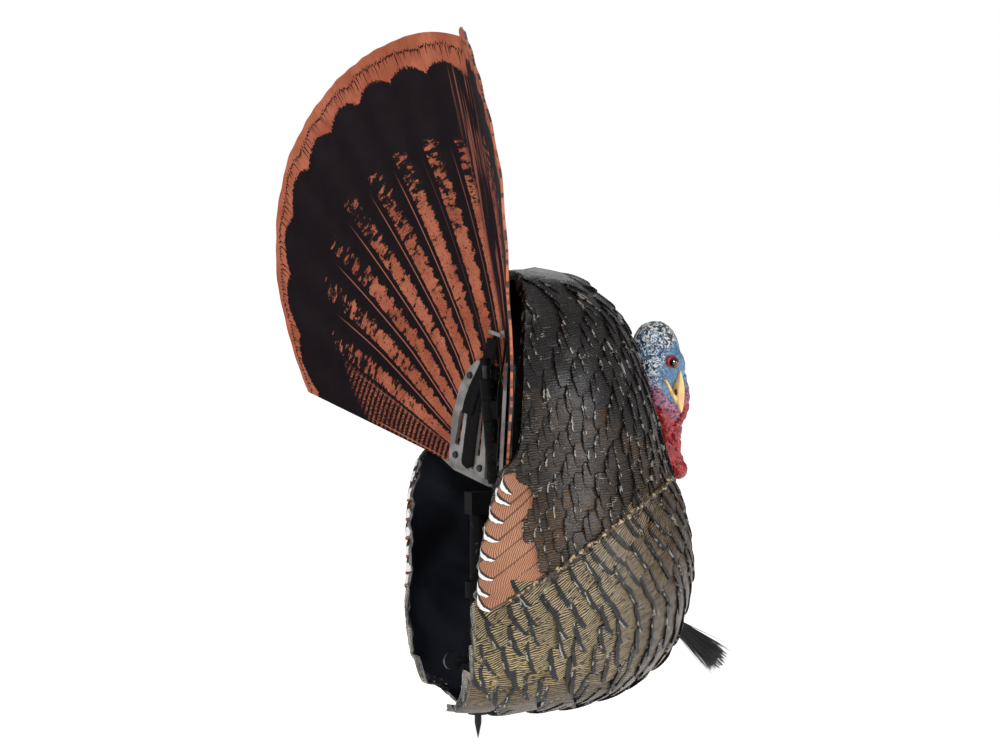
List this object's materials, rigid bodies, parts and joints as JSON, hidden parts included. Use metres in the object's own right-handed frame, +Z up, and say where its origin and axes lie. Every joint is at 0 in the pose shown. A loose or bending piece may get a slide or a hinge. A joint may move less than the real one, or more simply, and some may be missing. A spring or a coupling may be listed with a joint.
{
  "type": "turkey decoy",
  "caption": "Hollow half-shell strutting tom turkey decoy on a telescoping ground stake, with a folding tail fan, a turning plug-in head and a bristle beard.",
  "frame": {"origin": "the tip of the ground stake", "axes": "+Z up along the stake, +X the way the bird faces, +Y the bird's left side"},
  "size_m": [0.3262, 0.586, 0.6033],
  "materials": {
    "dark_steel": "black painted steel rod and tube",
    "zinc": "zinc plated",
    "black_plastic": "moulded black plastic",
    "grey_plastic": "moulded light grey plastic",
    "feather_shell": "moulded shell, painted as overlapping feathers, bare black inside",
    "fan_sheet": "flexible printed sheet, copper and near-black feathers",
    "rubber": "black rubber",
    "painted_head": "moulded head painted white, blue, purple and red",
    "eye": "glossy black bead",
    "webbing": "woven black webbing",
    "hook_loop": "dark brown hook-and-loop tape",
    "bristle": "bundle of black bristles"
  },
  "bodies": {
    "ground_rod": {"stake_rod": "dark_steel"},
    "stake_upper": {"stake_tube": "dark_steel", "pivot_cap": "black_plastic", "stake_clamp": "black_plastic"},
    "clamp_screw": {"thumb_screw": "zinc"},
    "shell": {"body_shell": "feather_shell", "floor_grommet": "rubber", "spine_tube": "black_plastic", "fan_socket": "black_plastic", "upper_strut": "black_plastic", "lower_strut": "black_plastic", "chest_screw_upper": "zinc", "chest_screw_lower": "zinc", "fan_post": "dark_steel", "post_cap": "black_plastic", "neck_bushing": "black_plastic", "beard_ferrule": "black_plastic", "beard_bristles": "bristle"},
    "turning_head": {"head": "painted_head", "eye_left": "eye", "eye_right": "eye", "neck_retainer": "zinc"},
    "fan_left": {"fan_panel_left": "fan_sheet", "rear_plate_left": "grey_plastic", "front_plate_left": "grey_plastic", "hinge_leaf_left": "black_plastic", "strap_left": "webbing", "strap_bar_left": "grey_plastic", "hook_loop_tail_left": "hook_loop", "fan_screw_left_1": "zinc", "fan_screw_left_2": "zinc", "fan_screw_left_3": "zinc"},
    "fan_right": {"fan_panel_right": "fan_sheet", "rear_plate_right": "grey_plastic", "front_plate_right": "grey_plastic", "hinge_leaf_right": "black_plastic", "strap_right": "webbing", "strap_bar_right": "grey_plastic", "hook_loop_tail_right": "hook_loop", "fan_screw_right_1": "zinc", "fan_screw_right_2": "zinc", "fan_screw_right_3": "zinc"}
  },
  "joints": [
    {"name": "stake_extend", "type": "slide", "parent": "ground_rod", "child": "stake_upper", "axis": [0, 0, 1], "range_m": [0, 0.1]},
    {"name": "thumb_screw_turn", "type": "hinge", "parent": "stake_upper", "child": "clamp_screw", "pos_m": [-0.02, 0, 0.068], "axis": [-1, 0, 0], "range_deg": [0, 360]},
    {"name": "shell_swivel", "type": "hinge", "parent": "stake_upper", "child": "shell", "pos_m": [0, 0, 0.2], "axis": [0, 0, 1], "continuous": true},
    {"name": "head_turn", "type": "hinge", "parent": "shell", "child": "turning_head", "pos_m": [0.149, 0, 0.3], "axis": [0.9659, 0, 0.259], "range_deg": [-25, 25]},
    {"name": "fan_left_fold", "type": "hinge", "parent": "shell", "child": "fan_left", "pos_m": [0.016, 0, 0.213], "axis": [-0.0881, 0, 0.9961], "range_deg": [0, 60]},
    {"name": "fan_right_fold", "type": "hinge", "parent": "shell", "child": "fan_right", "pos_m": [0.016, 0, 0.213], "axis": [-0.0881, 0, 0.9961], "range_deg": [-60, 0]}
  ]
}
